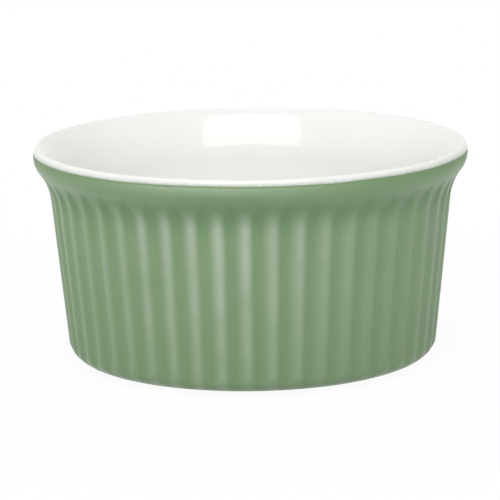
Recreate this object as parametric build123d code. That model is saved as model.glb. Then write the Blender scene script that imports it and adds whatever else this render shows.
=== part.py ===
from build123d import *
import os
from math import asin, atan, cos, degrees, radians, sin, sqrt

# Fluted ramekin with a flared rim: one clay body under three coats of glaze.
# Lengths are in millimetres and angles in degrees.
# The origin is on the resting plane, on the axis of the cup, and +Z points up.

# The whole cup, measured over its glaze. The overhang is how far the rim stands out past
# the line of the straight wall, carried on up to the height of the rim.
rim_diameter = 90.0
height = 45.3
base_diameter = 76.3
rim_overhang = 2.33
wall_thickness = 4.0
floor_thickness = 4.4
glaze_thickness = 0.35

# Outside, from the underside up to the rim
corner_radius = 4.1
flare_radius = 11.9
lip_radius = 4.95
lip_drop = 1.95
crest_radius = 0.82
glaze_line_drop = 1.2

# Inside, from the floor up to the rim
inner_corner_radius = 7.0
inner_flare_radius = 14.0

# Flutes round the outside, and the rounded ridges between them
flute_count = 48
flute_depth = 0.7
ridge_radius = 1.7
ridge_land = 0.2
ridge_overlap = 0.012

# Bare foot ring, and the recess inside it
foot_diameter = 62.0
foot_width = 2.5
foot_height = 0.8
foot_round = 0.35
recess_height = 1.7
recess_corner_radius = 0.5

# How far a cut runs past what it cuts
overrun = 2.0

# Outlines lie in a plane through the axis, with X as radius and Y as height.
# Each is drawn at an inset: 0 is the finished glaze and glaze_thickness is the clay.
wall_spread = rim_diameter / 2 - rim_overhang - base_diameter / 2
draft = atan(wall_spread / (height - foot_height))
wall_draft = degrees(draft)
up = Vector(sin(draft), cos(draft))
out = Vector(cos(draft), -sin(draft))
floor_height = recess_height + floor_thickness
glaze_line_height = height - glaze_line_drop
foot_inner_radius = foot_diameter / 2 - foot_width


def wall_point(run, step):
    """A point run up the straight wall from the underside, and step outward from it."""
    return Vector(base_diameter / 2, foot_height) + up * run + out * step


def wall_run_at_height(step, level):
    """The run up the wall at which a point step outward lies at a height."""
    return (level - wall_point(0, step).Y) / up.Y


def wall_run_to_circle(step, centre, distance):
    """The first run up the wall at which a point step outward lies at distance from centre."""
    gap = wall_point(0, step) - centre
    half = gap.dot(up)
    return -half - sqrt(half ** 2 - gap.dot(gap) + distance ** 2)


def angle_of(direction):
    """The angle of a direction in the outline's plane."""
    return Vector(1, 0).get_signed_angle(direction, Vector(0, 0, 1))


def arc_between(centre, radius, start, end):
    """An arc about centre from one angle to another, clockwise if the second is smaller."""
    return CenterArc(centre, radius, start, end - start)


# Centres of the arcs, shared by every inset
lip_centre = Vector(rim_diameter / 2 - lip_radius, height - lip_drop)
crest_rise = lip_drop - crest_radius
crest_reach = sqrt((lip_radius - crest_radius) ** 2 - crest_rise ** 2)
crest_centre = lip_centre + Vector(crest_reach, crest_rise)
flare_run = wall_run_to_circle(flare_radius, lip_centre, flare_radius + lip_radius)
flare_centre = wall_point(flare_run, flare_radius)
corner_run = wall_run_at_height(-corner_radius, foot_height + corner_radius)
corner_centre = wall_point(corner_run, -corner_radius)

inner_flare_step = inner_flare_radius - wall_thickness
inner_flare_run = wall_run_to_circle(
    inner_flare_step, crest_centre, inner_flare_radius - crest_radius
)
inner_flare_centre = wall_point(inner_flare_run, inner_flare_step)
inner_corner_step = -wall_thickness - inner_corner_radius
inner_corner_run = wall_run_at_height(inner_corner_step, floor_height + inner_corner_radius)
inner_corner_centre = wall_point(inner_corner_run, inner_corner_step)

# Where the lip's arc passes into the crest's, and where the flare's passes into the lip's
crest_start = angle_of(crest_centre - lip_centre)
flute_top = lip_centre + (flare_centre - lip_centre).normalized() * lip_radius


def revolved(outline):
    """The solid of revolution inside a closed outline."""
    return revolve(Plane.XZ * make_face(outline), Axis.Z)


def plain_blank(inset):
    """The cup before its flutes are cut and before it is hollowed out."""
    bottom = foot_height + inset
    top = height - inset
    corner_top = corner_centre + out * (corner_radius - inset)
    flare_foot = flare_centre - out * (flare_radius + inset)
    crest_top = crest_centre + Vector(0, crest_radius - inset)
    lip_start = angle_of(flare_centre - lip_centre)
    outline = [
        Line((0, bottom), (corner_centre.X, bottom)),
        arc_between(corner_centre, corner_radius - inset, -90, -wall_draft),
        Line(corner_top, flare_foot),
        arc_between(flare_centre, flare_radius + inset, 180 - wall_draft, 180 + lip_start),
        arc_between(lip_centre, lip_radius - inset, lip_start, crest_start),
        arc_between(crest_centre, crest_radius - inset, crest_start, 90),
        Line(crest_top, (0, top)),
        Line((0, top), (0, bottom)),
    ]
    return revolved(outline)


def inside_curves(inset, crest_end):
    """The inside from the axis at the floor up and over the crest, to an angle on its arc."""
    bottom = floor_height - inset
    corner_top = inner_corner_centre + out * (inner_corner_radius + inset)
    flare_foot = inner_flare_centre - out * (inner_flare_radius - inset)
    flare_end = angle_of(crest_centre - inner_flare_centre)
    return [
        Line((0, bottom), (inner_corner_centre.X, bottom)),
        arc_between(inner_corner_centre, inner_corner_radius + inset, -90, -wall_draft),
        Line(corner_top, flare_foot),
        arc_between(inner_flare_centre, inner_flare_radius - inset, 180 - wall_draft, flare_end),
        arc_between(crest_centre, crest_radius - inset, flare_end, crest_end),
    ]


def cavity(inset):
    """The space inside the cup, run on past the rim."""
    top = height + overrun
    crest_top = crest_centre + Vector(0, crest_radius - inset)
    outline = inside_curves(inset, 90) + [
        Line(crest_top, (crest_centre.X, top)),
        Line((crest_centre.X, top), (0, top)),
        Line((0, top), (0, floor_height - inset)),
    ]
    return revolved(outline)


def recess(inset):
    """The shallow space inside the foot ring, with a rounded upper edge."""
    radius = foot_inner_radius - glaze_thickness + inset
    top = recess_height + inset
    blank = extrude(Circle(radius), top)
    return fillet(blank.edges().sort_by(Axis.Z)[-1], recess_corner_radius + inset)


def foot_ring():
    """The bare ring that the cup stands on, rounded at both edges of its sole."""
    ring = Circle(foot_diameter / 2) - Circle(foot_inner_radius)
    blank = extrude(ring, foot_height + glaze_thickness)
    return fillet(blank.edges().group_by(Axis.Z)[0], foot_round)


def flute_cutter(inset):
    """The tool for one flute on the +X side: a straight run, and an arc out at the flare.

    Its section is the flute's arc with a ridge's arc on each side of it, which the tool
    leaves standing as the rounded shoulder of the ridge.
    """
    wall_radius = (corner_centre + out * corner_radius).X
    half_width = wall_radius * sin(radians(180 / flute_count)) - ridge_land / 2
    fall = wall_radius - sqrt(wall_radius ** 2 - half_width ** 2)
    shoulder = ridge_overlap - fall
    turn = 2 * atan((flute_depth + shoulder) / half_width)
    flute_radius = half_width / sin(turn) - ridge_radius

    flute_centre = Vector(0, flute_radius - flute_depth)
    ridge_centre = Vector(half_width, shoulder - ridge_radius)
    turn_angle = degrees(turn)
    half_section = make_face(
        [
            Line((0, overrun), flute_centre - Vector(0, flute_radius + inset)),
            arc_between(flute_centre, flute_radius + inset, -90, turn_angle - 90),
            arc_between(ridge_centre, ridge_radius - inset, turn_angle + 90, 90),
            Line(ridge_centre + Vector(0, ridge_radius - inset), (half_width, overrun)),
            Line((half_width, overrun), (0, overrun)),
        ]
    )
    section = half_section + mirror(half_section, Plane.YZ)

    # The bottom of the flute leaves the wall on the arc that ends where the lip starts
    bottom_foot = wall_point(flare_run, -flute_depth)
    reach = flute_top - bottom_foot
    runout_radius = reach.dot(reach) / (2 * reach.dot(out))
    runout_centre = bottom_foot + out * runout_radius
    runout_angle = (bottom_foot - runout_centre).get_angle(flute_top - runout_centre)
    runout_overrun = degrees(asin(overrun / runout_radius))

    start = wall_point(flare_run, 0)
    plane = Plane(
        origin=(start.X, 0, start.Y),
        x_dir=(0, -1, 0),
        z_dir=(up.X, 0, up.Y),
    )
    straight = extrude(plane * section, -(flare_run + overrun))
    turning_axis = Axis((runout_centre.X, 0, runout_centre.Y), (0, 1, 0))
    runout = revolve(plane * section, turning_axis, runout_angle + runout_overrun)
    return straight + runout


def fluted_blank(inset):
    """The cup with its flutes, before it is hollowed out. A ridge lies on each axis."""
    pitch = 360 / flute_count
    cutter = flute_cutter(inset)
    cutters = [Rot(0, 0, pitch * (place + 0.5)) * cutter for place in range(flute_count)]
    return plain_blank(inset) - cutters


def above_glaze_line():
    """All the space above the line on the lip where the two glazes meet."""
    slab = extrude(Circle(rim_diameter / 2 + overrun), glaze_line_drop + overrun)
    return Pos(0, 0, glaze_line_height) * slab


def inside_foot_ring():
    """The space under the cup that the outer glaze stops at."""
    return extrude(Circle(foot_diameter / 2), foot_height + glaze_thickness + overrun)


def stoneware_body(clay_blank):
    """The fired clay, with its foot ring left bare."""
    body = clay_blank + foot_ring()
    return body - cavity(glaze_thickness) - recess(glaze_thickness)


def outer_glaze(clay_blank):
    """The coloured coat over the flutes, from the foot ring to the line on the lip."""
    return fluted_blank(0) - clay_blank - above_glaze_line() - inside_foot_ring()


def inner_glaze():
    """The white coat of the inside, carried over the rim to the line on the lip."""
    rise = glaze_line_height - lip_centre.Y
    outline = [Line((0, floor_height), (0, floor_height - glaze_thickness))]
    line_ends = []
    for inset in (0, glaze_thickness):
        lip_end = degrees(asin(rise / (lip_radius - inset)))
        lip = arc_between(lip_centre, lip_radius - inset, crest_start, lip_end)
        outline += inside_curves(inset, crest_start) + [lip]
        line_ends.append(lip @ 1)
    return revolved(outline + [Line(*line_ends)])


def underside_glaze():
    """The coat inside the recess, which leaves the sole of the foot ring bare."""
    coat = recess(glaze_thickness) - recess(0)
    return coat - extrude(Circle(foot_diameter / 2), foot_height)


os.makedirs("parts", exist_ok=True)
fluted_clay = fluted_blank(glaze_thickness)
nodes = {
    "stoneware_body": stoneware_body(fluted_clay),
    "outer_glaze": outer_glaze(fluted_clay),
    "inner_glaze": inner_glaze(),
    "underside_glaze": underside_glaze(),
}
for name, shape in nodes.items():
    export_step(shape, f"parts/{name}.step")
    print(name, len(shape.solids()), "solid", round(shape.volume, 1), "mm3")
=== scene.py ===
import math

import bpy
import numpy as np
from mathutils import Matrix, Vector, noise


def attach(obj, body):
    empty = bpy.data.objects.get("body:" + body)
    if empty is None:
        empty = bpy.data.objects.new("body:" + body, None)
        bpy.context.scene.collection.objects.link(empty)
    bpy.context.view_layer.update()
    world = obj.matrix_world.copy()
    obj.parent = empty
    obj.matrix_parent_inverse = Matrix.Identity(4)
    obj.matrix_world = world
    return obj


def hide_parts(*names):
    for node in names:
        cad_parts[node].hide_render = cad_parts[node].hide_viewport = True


# Fluted ramekin: the clay body and its three glazes, each as a fine closed mesh.
# Lengths are in metres, Z is up and the cup stands on Z = 0. Angles are in radians, but
# those of the camera and of the light panels are in degrees.

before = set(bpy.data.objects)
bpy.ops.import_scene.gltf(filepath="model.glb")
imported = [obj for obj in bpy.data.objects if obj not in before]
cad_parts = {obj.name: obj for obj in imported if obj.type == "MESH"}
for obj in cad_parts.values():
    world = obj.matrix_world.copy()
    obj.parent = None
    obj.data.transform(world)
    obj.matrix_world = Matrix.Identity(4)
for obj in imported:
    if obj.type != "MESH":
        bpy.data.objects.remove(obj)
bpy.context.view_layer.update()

MM = 0.001

# The outline of the finished cup, as in the frame
rim_radius = 45.0 * MM
height = 45.3 * MM
base_radius = 38.15 * MM
rim_overhang = 2.33 * MM
wall_thickness = 4.0 * MM
floor_height = 6.1 * MM
glaze = 0.35 * MM
corner_radius = 4.1 * MM
flare_radius = 11.9 * MM
lip_radius = 4.95 * MM
lip_drop = 1.95 * MM
crest_radius = 0.82 * MM
glaze_line_drop = 1.2 * MM
inner_corner_radius = 7.0 * MM
inner_flare_radius = 14.0 * MM
foot_radius = 31.0 * MM
foot_width = 2.5 * MM
foot_height = 0.8 * MM
foot_round = 0.35 * MM
recess_height = 1.7 * MM
recess_corner_radius = 0.5 * MM

# Flutes and the rounded ridges between them
flute_count = 48
flute_pitch = 2 * math.pi / flute_count
flute_depth = 0.7 * MM
ridge_radius = 1.7 * MM
ridge_land = 0.2 * MM
ridge_overlap = 0.012 * MM
glaze_softening = 0.22 * MM

# The ridges are painted pale. Part of this is the glaze breaking thin on them, and part is a
# painted highlight of light from the front and one side. The pale line lies a little to one
# side of each crest and reaches further on that side, as the painted highlight does: shares
# of a flute's pitch give the places. It starts in the flare, from none at one height to all
# at the next, and then fades down the wall. The painted highlight makes it boldest on two
# opposite sides of the cup, and the higher the power, the narrower they are.
crest_lean_share = 0.03
crest_broad_share = 0.50
crest_steep_share = 0.31
crest_none_height = 39.0 * MM
crest_full_height = 34.8 * MM
crest_low_share = 0.35
# The glaze is darker towards the bottom, from none at the upper height to all at the lower
darkening_top_height = 33.0 * MM
darkening_full_height = 3.0 * MM
highlight_azimuth = math.radians(-99)
highlight_power = 6
faint_share = 0.18

# Glaze gathers in the hollow of the flare, and its darker colour there also paints the shade
# under the lip. Above 1, this power moves the place where it is darkest from the middle of
# the flare towards the lip.
hollow_power = 1.5

# On the two other sides the white glaze is painted with a greenish shade near the rim, from
# none to all of it between these heights. Its power narrows those sides in the same way.
side_shade_none_height = 22.0 * MM
side_shade_full_height = 41.0 * MM
side_shade_power = 8

# The line where the two glazes meet wanders a little round the rim, by a fractal noise,
# and the colours beside it reach this far from it
line_wander = 0.10 * MM
wander_scale = 2.2
wander_falloff = 0.7
wander_step = 2.1
wander_octaves = 4
line_reach = 2.4 * MM

# How finely the meshes are divided, and how near the axis their rows end. Below 1, the
# bunching draws the rows of the green lip towards the line between the glazes.
pole_radius = 0.05 * MM
columns_per_flute = 20
outer_columns = flute_count * columns_per_flute
inner_columns = outer_columns // 2
lip_bunching = 0.8
sharp_edge = math.radians(40)

# The camera: where it stands round the cup, how it is turned, and its lens. The places
# that it was fitted to are the middles of pixels, so its picture is shifted by half a pixel.
view_azimuth = 1.24
camera_distance = 638.8 * MM
camera_height = 155.3 * MM
camera_pitch = 11.77
camera_yaw = -0.023
camera_roll = -0.80
focal_length_px = 3123.0
image_width_px = 500
half_pixel = 0.5 / image_width_px
sensor_width = 36.0
clip_near = 0.05
clip_far = 20.0

# Light: what the surroundings give, the height that the panels are set about, and where
# the low panels that fill the sides stand
sky_light = 0.44
light_aim = 0.03
fill_distance = 1.5
fill_height = 0.35

# The table: its colour as it lights the cup and as it is seen, the least share of it that
# shows as plain backdrop, and the distances from the axis over which that share grows
table_pale = 0.65
table_white = 0.95
table_glow = 0.95
table_shadow_reach = (0.05, 0.16)
table_drop = 0.02 * MM
table_half_width = 3.0
table_roughness = 0.9
table_specular = 0.1

# Colours of the glazes and of the clay
green = (0.243, 0.382, 0.201)
green_cloud = (0.225, 0.358, 0.184)
# Darker green towards the bottom of the wall
green_lower_down = (0.195, 0.315, 0.157)
# Pale colour of the ridges' thin glaze and their painted highlight, and of the lip's painted
# highlight
green_break_and_highlight = (0.470, 0.568, 0.424)
# Gathered glaze and painted shade in the hollow of the flare
green_thick_and_shade = (0.188, 0.322, 0.154)
# Painted shade on the lip's two sides
green_lip_shade = (0.155, 0.300, 0.115)
green_edge = (0.190, 0.300, 0.150)
green_blurred = (0.340, 0.410, 0.310)
white = (0.898, 0.903, 0.884)
white_warm = (0.882, 0.890, 0.862)
# Painted greenish shade on the white inside near the rim
white_side_shade = (0.820, 0.852, 0.775)
white_edge = (0.45, 0.53, 0.41)
clay_pale = (0.66, 0.58, 0.47)
clay_dark = (0.50, 0.42, 0.33)

# Where the colours beside the line between the glazes begin and are full, as shares that
# grow from 0, a reach away, towards 1 on the line. Two of them stay below full, and the
# green is less glossy at the line.
# These two paint a highlight on the green lip beside the line
lip_highlight_span = (0.0, 0.75)
lip_highlight_most = 0.5
# These two paint shade on the green lip's sides beside the line
lip_shade_span = (0.0, 0.8)
lip_shade_most = 0.85
edge_span = (0.83, 0.90)
blurred_span = (0.92, 1.0)
white_edge_span = (0.72, 1.0)
line_dulling = 0.2

# The part of a noise's values that makes a full change: the narrower, the crisper
soft_span = (0.30, 0.70)
fair_span = (0.35, 0.65)
crisp_span = (0.40, 0.60)

draft = math.atan((rim_radius - rim_overhang - base_radius) / (height - foot_height))
up = np.array([math.sin(draft), math.cos(draft)])
out = np.array([math.cos(draft), -math.sin(draft)])
wall_foot = np.array([base_radius, foot_height])


def unit(vector):
    return vector / np.linalg.norm(vector)


def angle_of(vector):
    return math.atan2(vector[1], vector[0])


def wall_point(run, step):
    """A point run up the wall and step outward, in the plane through the axis."""
    return wall_foot + up * run + out * step


def wall_run_to_circle(step, centre, distance):
    """The first run up the wall where a point step outward lies at distance from centre."""
    gap = wall_point(0, step) - centre
    half = gap @ up
    return -half - math.sqrt(half ** 2 - gap @ gap + distance ** 2)


def arc(centre, radius, start, end, count):
    """Points on an arc, from one angle to another."""
    angles = np.linspace(start, end, count)
    return centre + radius * np.stack([np.cos(angles), np.sin(angles)], 1)


def line(start, end, count):
    """Points on a straight line."""
    return start + (np.array(end) - start) * np.linspace(0, 1, count)[:, None]


def chain(*runs):
    """Runs of points joined into one, with the points they share kept once."""
    return np.vstack([runs[0]] + [run[1:] for run in runs[1:]])


# Centres of the outline's arcs, shared by the glaze and the clay under it
lip_centre = np.array([rim_radius - lip_radius, height - lip_drop])
crest_rise = lip_drop - crest_radius
crest_reach = math.sqrt((lip_radius - crest_radius) ** 2 - crest_rise ** 2)
crest_centre = lip_centre + np.array([crest_reach, crest_rise])
flare_run = wall_run_to_circle(flare_radius, lip_centre, flare_radius + lip_radius)
flare_centre = wall_point(flare_run, flare_radius)
corner_run = corner_radius * (1 - math.sin(draft)) / math.cos(draft)
corner_centre = wall_point(corner_run, -corner_radius)
inner_flare_step = inner_flare_radius - wall_thickness
inner_flare_run = wall_run_to_circle(
    inner_flare_step, crest_centre, inner_flare_radius - crest_radius
)
inner_flare_centre = wall_point(inner_flare_run, inner_flare_step)
inner_corner_step = -wall_thickness - inner_corner_radius
inner_corner_level = floor_height + inner_corner_radius
inner_corner_run = (inner_corner_level - wall_point(0, inner_corner_step)[1]) / up[1]
inner_corner_centre = wall_point(inner_corner_run, inner_corner_step)

# Angles on those arcs: where the lip starts, the two ends of the crest, and the glaze line
lip_start = angle_of(flare_centre - lip_centre)
crest_start = angle_of(crest_centre - lip_centre)
crest_end = angle_of(crest_centre - inner_flare_centre)
glaze_line_angle = math.asin((lip_drop - glaze_line_drop) / lip_radius)

# The tool that cuts a flute: its section, and the arc on which it leaves the wall
wall_radius = (corner_centre + out * corner_radius)[0]
half_width = wall_radius * math.sin(flute_pitch / 2) - ridge_land / 2
ridge_fall = wall_radius - math.sqrt(wall_radius ** 2 - half_width ** 2)
shoulder = ridge_overlap - ridge_fall
shoulder_turn = 2 * math.atan((flute_depth + shoulder) / half_width)
flute_radius = half_width / math.sin(shoulder_turn) - ridge_radius
flute_top = lip_centre + unit(flare_centre - lip_centre) * lip_radius
runout_foot = wall_point(flare_run, -flute_depth)
runout_reach = flute_top - runout_foot
runout_radius = (runout_reach @ runout_reach) / (2 * (runout_reach @ out))
runout_centre = runout_foot + out * runout_radius


def tool_height(across):
    """How high the tool's edge stands over the ridge line, across from a flute's middle."""
    across = np.abs(across)
    joint = flute_radius * math.sin(shoulder_turn)
    flute = flute_radius - flute_depth - np.sqrt(
        np.maximum(flute_radius ** 2 - np.minimum(across, joint) ** 2, 0)
    )
    beyond = np.clip(half_width - across, 0, None)
    ridge = shoulder - ridge_radius + np.sqrt(np.maximum(ridge_radius ** 2 - beyond ** 2, 0))
    outside = np.clip(across - half_width, 0, None)
    return np.where(across <= joint, flute, ridge + outside)


def cut_of(points):
    """Where outline points lie from the tool: their heights there, and the ways in."""
    run = (points - wall_foot) @ up
    on_wall = run <= flare_run
    away = points - runout_centre
    distance = np.linalg.norm(away, axis=1)
    level = np.where(
        on_wall, (points - wall_foot) @ out, runout_radius - flute_depth - distance
    )
    inward = np.where(on_wall[:, None], -out, away / distance[:, None])
    return level, inward


def softened_least(a, b, reach):
    """The lesser of two heights, with the edge between them rounded over reach."""
    blend = np.clip(0.5 + 0.5 * (b - a) / reach, 0, 1)
    return b + (a - b) * blend - reach * blend * (1 - blend)


def azimuths(columns):
    """The angle round the cup of each column."""
    return 2 * math.pi * np.arange(columns) / columns


def row_of(point, columns):
    """One outline point, once a column."""
    return np.tile(point, (columns, 1))


def ring_of(row):
    """Outline points, one a column, turned about the axis into a row of the cup."""
    turn = azimuths(len(row))
    return np.stack([row[:, 0] * np.cos(turn), row[:, 0] * np.sin(turn), row[:, 1]], 1)


def plain_rings(points, columns):
    """A smooth ring round the cup for each outline point."""
    return [ring_of(row_of(point, columns)) for point in points]


def fluted_ring(row, inset):
    """Outline points, one a column, turned about the axis with the flutes cut in."""
    from_middle = (azimuths(len(row)) % flute_pitch) - flute_pitch / 2
    level, inward = cut_of(row)
    surface = level - row[:, 0] * (1 - np.cos(from_middle))
    tool = tool_height(row[:, 0] * np.sin(from_middle)) - inset
    cut = softened_least(surface, tool, glaze_softening)
    return ring_of(row + inward * np.maximum(surface - cut, 0)[:, None])


def fluted_rings(rows, inset):
    """A fluted ring round the cup for each row."""
    return [fluted_ring(row, inset) for row in rows]


def glaze_line_turn(columns):
    """The angle on the lip's arc at which the glazes meet, round the rim."""
    wander = [
        noise.fractal(
            Vector((math.cos(turn), math.sin(turn), 0)) * wander_scale,
            wander_falloff,
            wander_step,
            wander_octaves,
        )
        for turn in azimuths(columns)
    ]
    return glaze_line_angle + np.array(wander) * line_wander / lip_radius


def break_and_highlight_share(columns):
    """How pale the ridges are painted round the cup: 1 in the middle of the painted highlight.
    """
    highlight_weight = np.cos(azimuths(columns) - highlight_azimuth) ** highlight_power
    return faint_share + (1 - faint_share) * highlight_weight


def lowness_share(row):
    """How far down the wall each point is, where the glaze is darker: 0 to 1."""
    return np.clip((darkening_top_height - row[:, 1]) / (darkening_top_height - darkening_full_height), 0, 1)


def ridge_break_and_highlight_share(row):
    """Painted ridge break and highlight at each point: 1 on a full crest, and 0 in a flute."""
    turned = azimuths(len(row)) / flute_pitch + crest_lean_share
    from_crest = (turned + 0.5) % 1 - 0.5
    reach = np.where(from_crest < 0, crest_broad_share, crest_steep_share)
    crest = 0.5 + 0.5 * np.cos(math.pi * np.minimum(np.abs(from_crest) / reach, 1))
    started = (crest_none_height - row[:, 1]) / (crest_none_height - crest_full_height)
    kept = 1 - (1 - crest_low_share) * lowness_share(row)
    return crest * np.clip(started, 0, 1) * kept * break_and_highlight_share(len(row))


def hollow_thick_and_shade_share(row):
    """How far a point lies in the flare's hollow, where glaze gathers and shade is painted: 0
    to 1.
    """
    turn = np.arctan2(row[:, 1] - flare_centre[1], flare_centre[0] - row[:, 0])
    across = (turn + draft) / (draft - lip_start)
    on_flare = (across > 0) & (across < 1) & (row[:, 1] > wall_foot[1] + corner_radius)
    gathered_and_shaded = np.sin(math.pi * np.clip(across, 0, 1) ** hollow_power)
    return np.where(on_flare, gathered_and_shaded, 0)


def side_shade_share(row):
    """How much greenish shade is painted on each point of the white glaze: 0 to 1."""
    raised = (row[:, 1] - side_shade_none_height) / (side_shade_full_height - side_shade_none_height)
    sides = np.sin(azimuths(len(row)) - highlight_azimuth) ** side_shade_power
    return np.clip(raised, 0, 1) * sides


def line_nearness(row, line_turn):
    """How near each point is to the line between the glazes: 1 on it, and 0 from a reach."""
    turn = np.arctan2(row[:, 1] - lip_centre[1], row[:, 0] - lip_centre[0])
    gap = np.abs(turn - line_turn) * lip_radius
    return np.clip(1 - gap / line_reach, 0, 1)


def lathe(name, rings, closed, shares):
    """A mesh of rings round the axis, each with as many points as there are columns.

    The rings join end to end if closed, and else end in points on the axis. Shares are
    named lists of rows of values, which the material reads from the mesh by name.
    """
    columns = len(rings[0])
    ring_count = len(rings)
    points = np.concatenate(rings)
    along = np.arange(columns)
    after = (along + 1) % columns
    faces = []
    for ring in range(ring_count if closed else ring_count - 1):
        low = ring * columns
        high = ((ring + 1) % ring_count) * columns
        faces += np.stack([low + along, low + after, high + after, high + along], 1).tolist()
    if not closed:
        ends = [(0, 0, rings[0][0][2]), (0, 0, rings[-1][0][2])]
        first = len(points)
        last_ring = (ring_count - 1) * columns
        faces += np.stack([np.full(columns, first), after, along], 1).tolist()
        upper = np.full(columns, first + 1)
        faces += np.stack([last_ring + along, last_ring + after, upper], 1).tolist()
        points = np.concatenate([points, ends])
    mesh = bpy.data.meshes.new(name)
    mesh.from_pydata(points.tolist(), [], faces)
    mesh.validate()
    mesh.shade_smooth()
    mesh.set_sharp_from_angle(angle=sharp_edge)
    for share, rows in shares.items():
        values = np.zeros(len(points))
        known = np.concatenate(rows)
        values[: len(known)] = known
        mesh.attributes.new(share, "FLOAT", "POINT").data.foreach_set("value", values)
    mesh.update()
    return placed(name, mesh)


def placed(name, data):
    """A new object in the scene, at the origin."""
    piece = bpy.data.objects.new(name, data)
    bpy.context.scene.collection.objects.link(piece)
    return piece


def lip_rows(starts, ends, inset, count, bunching=1.0):
    """Rows on the lip's arc, between two angles that may vary round the rim."""
    rows = []
    for share in np.linspace(0, 1, count) ** bunching:
        turn = starts + (ends - starts) * share
        away = (lip_radius - inset) * np.stack([np.cos(turn), np.sin(turn)], 1)
        rows.append(lip_centre + away)
    return rows


def outside_rows(inset, columns, underside_rows, corner_rows, wall_rows, flare_rows):
    """Outline rows from the foot ring round the corner and up the wall to the lip."""
    corner = arc(corner_centre, corner_radius - inset, -math.pi / 2, -draft, corner_rows)
    flare_foot = flare_centre - out * (flare_radius + inset)
    flare_end = math.pi + lip_start
    flare = arc(flare_centre, flare_radius + inset, math.pi - draft, flare_end, flare_rows)
    points = chain(
        line(np.array([foot_radius, foot_height + inset]), corner[0], underside_rows),
        corner,
        line(corner[-1], flare_foot, wall_rows),
        flare,
    )
    return [row_of(point, columns) for point in points]


def inside_points(inset, crest_rows, flare_rows, wall_rows, corner_rows, floor_rows):
    """The inside, from the lip over the crest and down the wall to the floor's middle."""
    crest = arc(crest_centre, crest_radius - inset, crest_start, crest_end, crest_rows)
    radius = inner_flare_radius - inset
    flare = arc(inner_flare_centre, radius, crest_end, math.pi - draft, flare_rows)
    radius = inner_corner_radius + inset
    corner = arc(inner_corner_centre, radius, -draft, -math.pi / 2, corner_rows)
    middle = np.array([pole_radius, floor_height - inset])
    return chain(
        crest,
        flare,
        line(flare[-1], corner[0], wall_rows),
        corner,
        line(corner[-1], middle, floor_rows),
    )


def recess_points(inset, corner_rows, ceiling_rows):
    """The recess inside the foot ring, from its middle out and down to the bare clay."""
    side = foot_radius - foot_width - glaze + inset
    top = recess_height + inset
    radius = recess_corner_radius + inset
    centre = np.array([side - radius, top - radius])
    corner = arc(centre, radius, math.pi / 2, 0, corner_rows)
    ceiling = line(np.array([pole_radius, top]), corner[0], ceiling_rows)
    return chain(ceiling, corner, line(corner[-1], np.array([side, foot_height]), 2))


def foot_points(round_rows, sole_rows):
    """The bare foot ring, from inside the recess round its sole to the outer glaze."""
    inside = foot_radius - foot_width
    inner = np.array([inside + foot_round, foot_round])
    outer = np.array([foot_radius - foot_round, foot_round])
    down = np.array([0, foot_round])
    return chain(
        arc(inner, foot_round, math.pi, 1.5 * math.pi, round_rows),
        line(inner - down, outer - down, sole_rows),
        arc(outer, foot_round, 1.5 * math.pi, 2 * math.pi, round_rows),
    )


def outer_glaze():
    """The green coat: its face, and behind it the face that lies on the clay."""
    line_turn = glaze_line_turn(outer_columns)
    begin = np.full(outer_columns, lip_start)
    face = outside_rows(
        0, outer_columns, underside_rows=3, corner_rows=12, wall_rows=16, flare_rows=26
    )
    face += lip_rows(begin, line_turn, 0, count=18, bunching=lip_bunching)[1:]
    back = outside_rows(
        glaze, outer_columns, underside_rows=2, corner_rows=5, wall_rows=4, flare_rows=8
    )
    back += lip_rows(begin, line_turn, glaze, count=4)[1:]
    rings = fluted_rings(face, 0) + fluted_rings(back[::-1], glaze)
    highlight_weight = break_and_highlight_share(outer_columns)
    nearness = [line_nearness(row, line_turn) for row in face]
    shares = {
        # The ridge share paints the glaze's thin break and a highlight on the ridges
        "ridge": [ridge_break_and_highlight_share(row) for row in face],
        # The run share makes the glaze darker towards the bottom
        "run": [lowness_share(row) for row in face],
        # The hollow share paints gathered glaze and the shade under the lip
        "hollow": [hollow_thick_and_shade_share(row) for row in face],
        "line": nearness,
        # The lip share paints a highlight on the green lip beside the line, strongest in front
        "lip": [near * highlight_weight for near in nearness],
        # This share paints shade on the lip's sides beside the line
        "lip_shade": [near * (1 - highlight_weight) for near in nearness],
    }
    return lathe("outer_glaze_coat", rings, True, shares)


def inner_glaze():
    """The white coat of the inside, over the rim and down to the line on the lip."""
    line_turn = glaze_line_turn(inner_columns)
    end = np.full(inner_columns, crest_start)
    back = inside_points(
        glaze, crest_rows=5, flare_rows=8, wall_rows=3, corner_rows=6, floor_rows=6
    )
    rings = [ring_of(row) for row in lip_rows(line_turn, end, glaze, count=3)]
    rings += plain_rings(back[1:], inner_columns)
    hidden = [np.zeros(inner_columns)] * len(rings)
    lip = lip_rows(line_turn, end, 0, count=7)
    inside = inside_points(
        0, crest_rows=14, flare_rows=26, wall_rows=10, corner_rows=14, floor_rows=16
    )
    face = lip + [row_of(point, inner_columns) for point in inside[1:]]
    shares = {
        "line": hidden + [line_nearness(row, line_turn) for row in lip],
        # This share paints a greenish shade on the white near the rim on two sides
        "side_shade": hidden + [side_shade_share(row) for row in face],
    }
    rings = rings[::-1] + [ring_of(row) for row in face]
    return lathe("inner_glaze_coat", rings, False, shares)


def underside_glaze():
    """The coat in the recess inside the foot ring."""
    face = plain_rings(recess_points(0, corner_rows=9, ceiling_rows=12), inner_columns)
    back = plain_rings(recess_points(glaze, corner_rows=5, ceiling_rows=5), inner_columns)
    return lathe("underside_glaze_coat", face + back[::-1], False, {})


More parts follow.
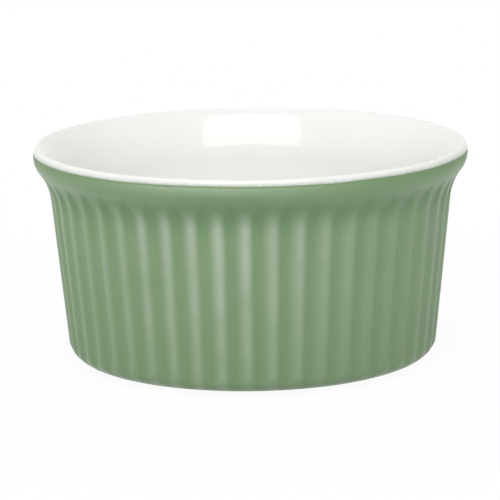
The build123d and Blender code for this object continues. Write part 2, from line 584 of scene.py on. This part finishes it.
def stoneware_body():
    """The clay, which shows only at the foot ring."""
    begin = np.full(inner_columns, lip_start)
    end = np.full(inner_columns, crest_start)
    outside = outside_rows(
        glaze, inner_columns, underside_rows=2, corner_rows=6, wall_rows=4, flare_rows=10
    )
    outside += lip_rows(begin, end, glaze, count=8)[1:]
    inside = inside_points(
        glaze, crest_rows=6, flare_rows=10, wall_rows=3, corner_rows=8, floor_rows=6
    )
    rings = plain_rings(recess_points(glaze, corner_rows=9, ceiling_rows=6), inner_columns)
    rings += plain_rings(foot_points(round_rows=7, sole_rows=4), inner_columns)
    rings += fluted_rings(outside, glaze)
    rings += plain_rings(inside[1:], inner_columns)
    return lathe("stoneware_casting", rings, False, {})


def material(name):
    """A new material, with its node tree and its Principled shader."""
    made = bpy.data.materials.new(name)
    made.use_nodes = True
    return made, made.node_tree, made.node_tree.nodes["Principled BSDF"]


def fed(tree, socket, value):
    """A node's input set to a value, or linked to another node's output."""
    if isinstance(value, bpy.types.NodeSocket):
        tree.links.new(value, socket)
    else:
        socket.default_value = value


def add_node(tree, kind, **inputs):
    """A node of a kind, with the named inputs set to values or linked to sockets."""
    node = tree.nodes.new(kind)
    for name, value in inputs.items():
        fed(tree, node.inputs[name.replace("_", " ")], value)
    return node


def place(tree):
    """Where a point of the surface lies in the frame."""
    return tree.nodes.new("ShaderNodeTexCoord").outputs["Object"]


def share_of(tree, name):
    """A value that the mesh carries at each point."""
    made = tree.nodes.new("ShaderNodeAttribute")
    made.attribute_name = name
    return made.outputs["Fac"]


def noise_of(tree, scale, detail=3.0):
    """Noise in the frame's space, with its scale to the metre."""
    made = add_node(
        tree, "ShaderNodeTexNoise", Vector=place(tree), Scale=scale, Detail=detail
    )
    return made.outputs["Fac"]


def ranged(tree, value, span, least=0.0, most=1.0):
    """A value mapped from a span to the range from least to most, and held within it."""
    low, high = span
    made = add_node(
        tree,
        "ShaderNodeMapRange",
        Value=value,
        From_Min=low,
        From_Max=high,
        To_Min=least,
        To_Max=most,
    )
    return made.outputs["Result"]


def varied(tree, scale, least=0.0, most=1.0, detail=3.0, span=soft_span):
    """A value that varies over the surface, by the span of a noise."""
    return ranged(tree, noise_of(tree, scale, detail), span, least, most)


def worked_out(tree, operation, first, second):
    """A sum done on two values, each a number or a socket."""
    made = tree.nodes.new("ShaderNodeMath")
    made.operation = operation
    fed(tree, made.inputs[0], first)
    fed(tree, made.inputs[1], second)
    return made.outputs["Value"]


def product(tree, first, second):
    return worked_out(tree, "MULTIPLY", first, second)


def mixed(tree, share, first, second):
    """Two colours mixed by a share: the first is a socket or a colour, the second a colour."""
    made = tree.nodes.new("ShaderNodeMix")
    made.data_type = "RGBA"
    tree.links.new(share, made.inputs["Factor"])
    is_socket = isinstance(first, bpy.types.NodeSocket)
    fed(tree, made.inputs["A"], first if is_socket else (*first, 1.0))
    fed(tree, made.inputs["B"], (*second, 1.0))
    return made.outputs["Result"]


def finished(tree, shader, colour, shine, grain, depth):
    """A shader's colour, its roughness, and the bump that a grain of a depth gives it."""
    bump = add_node(tree, "ShaderNodeBump", Height=grain, Distance=depth)
    tree.links.new(colour, shader.inputs["Base Color"])
    tree.links.new(shine, shader.inputs["Roughness"])
    tree.links.new(bump.outputs["Normal"], shader.inputs["Normal"])


def green_glaze(with_shares):
    """Satin glaze, paler on ridges where thin, darker where it gathers, and with painted light
    and shade.
    """
    made, tree, shader = material("sage_green_satin_glaze")
    cloud = varied(tree, scale=90.0, detail=6.0, span=crisp_span)
    colour = mixed(tree, cloud, green, green_cloud)
    shine = varied(tree, scale=400.0, least=0.33, most=0.43)
    if with_shares:
        patchy = varied(tree, scale=160.0, least=0.7, most=1.1)
        ridge = product(tree, share_of(tree, "ridge"), patchy)
        speckle = varied(tree, scale=1500.0, least=0.96, most=1.04)
        nearness = share_of(tree, "line")
        line = product(tree, nearness, speckle)
        for share, towards in (
            # Darker towards the bottom of the wall
            (share_of(tree, "run"), green_lower_down),
            # Gathered glaze and painted shade under the lip
            (share_of(tree, "hollow"), green_thick_and_shade),
            # Ridges painted pale for the glaze's thin break and a painted highlight
            (ridge, green_break_and_highlight),
            # Painted highlight on the lip beside the line
            (ranged(tree, share_of(tree, "lip"), lip_highlight_span, most=lip_highlight_most), green_break_and_highlight),
            # Painted shade on the lip's sides
            (ranged(tree, share_of(tree, "lip_shade"), lip_shade_span, most=lip_shade_most), green_lip_shade),
            (ranged(tree, line, edge_span), green_edge),
            (ranged(tree, line, blurred_span), green_blurred),
        ):
            colour = mixed(tree, share, colour, towards)
        shine = worked_out(tree, "ADD", shine, product(tree, nearness, line_dulling))
    grain = noise_of(tree, scale=700.0, detail=2.0)
    finished(tree, shader, colour, shine, grain, depth=0.02 * MM)
    return made


def white_glaze():
    """Glossy glaze with faint clouds, green at the line, and painted greenish shade near the
    rim.
    """
    made, tree, shader = material("white_gloss_glaze")
    cloud = varied(tree, scale=60.0, span=fair_span)
    speckle = varied(tree, scale=1500.0, least=0.95, most=1.05)
    line = product(tree, share_of(tree, "line"), speckle)
    edge = ranged(tree, line, white_edge_span)
    colour = mixed(tree, cloud, white, white_warm)
    # Painted greenish shade near the rim on two sides
    colour = mixed(tree, share_of(tree, "side_shade"), colour, white_side_shade)
    colour = mixed(tree, product(tree, edge, edge), colour, white_edge)
    shine = varied(tree, scale=300.0, least=0.07, most=0.11)
    grain = noise_of(tree, scale=120.0, detail=1.0)
    finished(tree, shader, colour, shine, grain, depth=0.03 * MM)
    return made


def bare_clay():
    """Matt fired clay with a fine grain."""
    made, tree, shader = material("bare_fired_clay")
    fleck = varied(tree, scale=900.0, detail=6.0, span=crisp_span)
    colour = mixed(tree, fleck, clay_pale, clay_dark)
    shine = varied(tree, scale=600.0, least=0.78, most=0.92)
    grain = noise_of(tree, scale=1500.0, detail=6.0)
    finished(tree, shader, colour, shine, grain, depth=0.08 * MM)
    return made


def show(piece, node, finish):
    """A piece stands for its CAD node, on the cup's one body."""
    piece.data.materials.append(finish)
    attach(piece, "root")
    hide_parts(node)


def seen_rays(tree):
    """1 for a ray that sees a backdrop straight or by reflection, and 0 for lighting."""
    rays = tree.nodes.new("ShaderNodeLightPath")
    seen = rays.outputs["Is Camera Ray"]
    for kind in ("Is Glossy Ray", "Is Transmission Ray"):
        seen = worked_out(tree, "MAXIMUM", seen, rays.outputs[kind])
    return seen


def table():
    """A pale table top that keeps the cup's soft shadow."""
    half = table_half_width
    corners = [(-half, -half), (half, -half), (half, half), (-half, half)]
    mesh = bpy.data.meshes.new("table_top")
    mesh.from_pydata([(*corner, -table_drop) for corner in corners], [], [(0, 1, 2, 3)])
    made, tree, shader = material("pale_table_top")
    seen = seen_rays(tree)
    colour = mixed(tree, seen, (table_pale,) * 3, (table_white,) * 3)
    tree.links.new(colour, shader.inputs["Base Color"])
    shader.inputs["Roughness"].default_value = table_roughness
    shader.inputs["Specular IOR Level"].default_value = table_specular
    backdrop = add_node(tree, "ShaderNodeEmission", Strength=1.0)
    from_axis = add_node(tree, "ShaderNodeVectorMath", Vector=place(tree))
    from_axis.operation = "LENGTH"
    away = ranged(tree, from_axis.outputs["Value"], table_shadow_reach, least=table_glow)
    blend = add_node(tree, "ShaderNodeMixShader", Fac=product(tree, away, seen))
    tree.links.new(shader.outputs["BSDF"], blend.inputs[1])
    tree.links.new(backdrop.outputs["Emission"], blend.inputs[2])
    surface = tree.nodes["Material Output"].inputs["Surface"]
    tree.links.new(blend.outputs["Shader"], surface)
    mesh.materials.append(made)
    placed("table_top", mesh)


def panel(name, azimuth, lean, distance, width, low, high, radiance):
    """A flat soft light beside the cup, with its lower and upper edge along its own plane.

    Azimuth 0 is in front of the cup, towards the camera, and 90 is on its right. An
    upright panel leans over the cup by an angle, about the point at distance from it.
    """
    turn = Matrix.Rotation(math.radians(azimuth), 3, "Z")
    tip = Matrix.Rotation(math.radians(-lean), 3, "X")
    way = turn @ tip @ Vector((0, -1, 0))
    rise = turn @ tip @ Vector((0, 0, 1))
    light = bpy.data.lights.new(name, "AREA")
    light.shape = "RECTANGLE"
    light.size = width
    light.size_y = high - low
    light.energy = radiance * math.pi * width * (high - low)
    piece = placed(name, light)
    middle = Vector((0, 0, light_aim)) + way * distance + rise * (low + high) / 2
    facing = Matrix((rise.cross(way), rise, way)).transposed()
    piece.matrix_world = Matrix.Translation(middle) @ facing.to_4x4()
    return piece


def fill(name, azimuth, width, radiance):
    """A low upright panel that lights one side and isn't mirrored in the glaze."""
    piece = panel(
        name,
        azimuth,
        lean=0,
        distance=fill_distance,
        width=width,
        low=0.0,
        high=fill_height,
        radiance=radiance,
    )
    piece.visible_glossy = False


def sky():
    """Even white light from all round, and a white backdrop for what sees it."""
    world = bpy.data.worlds.new("white_surroundings")
    world.use_nodes = True
    tree = world.node_tree
    background = tree.nodes["Background"]
    background.inputs["Color"].default_value = (1.0, 1.0, 1.0, 1.0)
    strength = ranged(tree, seen_rays(tree), (0.0, 1.0), least=sky_light)
    tree.links.new(strength, background.inputs["Strength"])
    bpy.context.scene.world = world


def camera():
    """The camera at the photograph's place, distance and tilt."""
    data = bpy.data.cameras.new("camera")
    data.sensor_width = sensor_width
    data.lens = focal_length_px / image_width_px * sensor_width
    data.shift_x = -half_pixel
    data.shift_y = half_pixel
    data.clip_start = clip_near
    data.clip_end = clip_far
    piece = placed("camera", data)
    round_cup = Matrix.Rotation(math.radians(view_azimuth), 4, "Z")
    place_at = Matrix.Translation((0, -camera_distance, camera_height))
    yaw = Matrix.Rotation(math.radians(-camera_yaw), 4, "Z")
    tilt = Matrix.Rotation(math.radians(90 - camera_pitch), 4, "X")
    roll = Matrix.Rotation(math.radians(camera_roll), 4, "Z")
    piece.matrix_world = round_cup @ place_at @ yaw @ tilt @ roll
    bpy.context.scene.camera = piece


camera()
show(outer_glaze(), "outer_glaze", green_glaze(True))
show(inner_glaze(), "inner_glaze", white_glaze())
show(underside_glaze(), "underside_glaze", green_glaze(False))
show(stoneware_body(), "stoneware_body", bare_clay())
table()

sky()
panel(
    "front_softbox",
    azimuth=0,
    lean=20,
    distance=0.9,
    width=1.03,
    low=0.13,
    high=2.12,
    radiance=2.45,
)
fill("left_fill", azimuth=-95, width=1.3, radiance=2.6)
fill("right_fill", azimuth=120, width=1.6, radiance=0.8)

bpy.context.scene.view_settings.view_transform = "Standard"
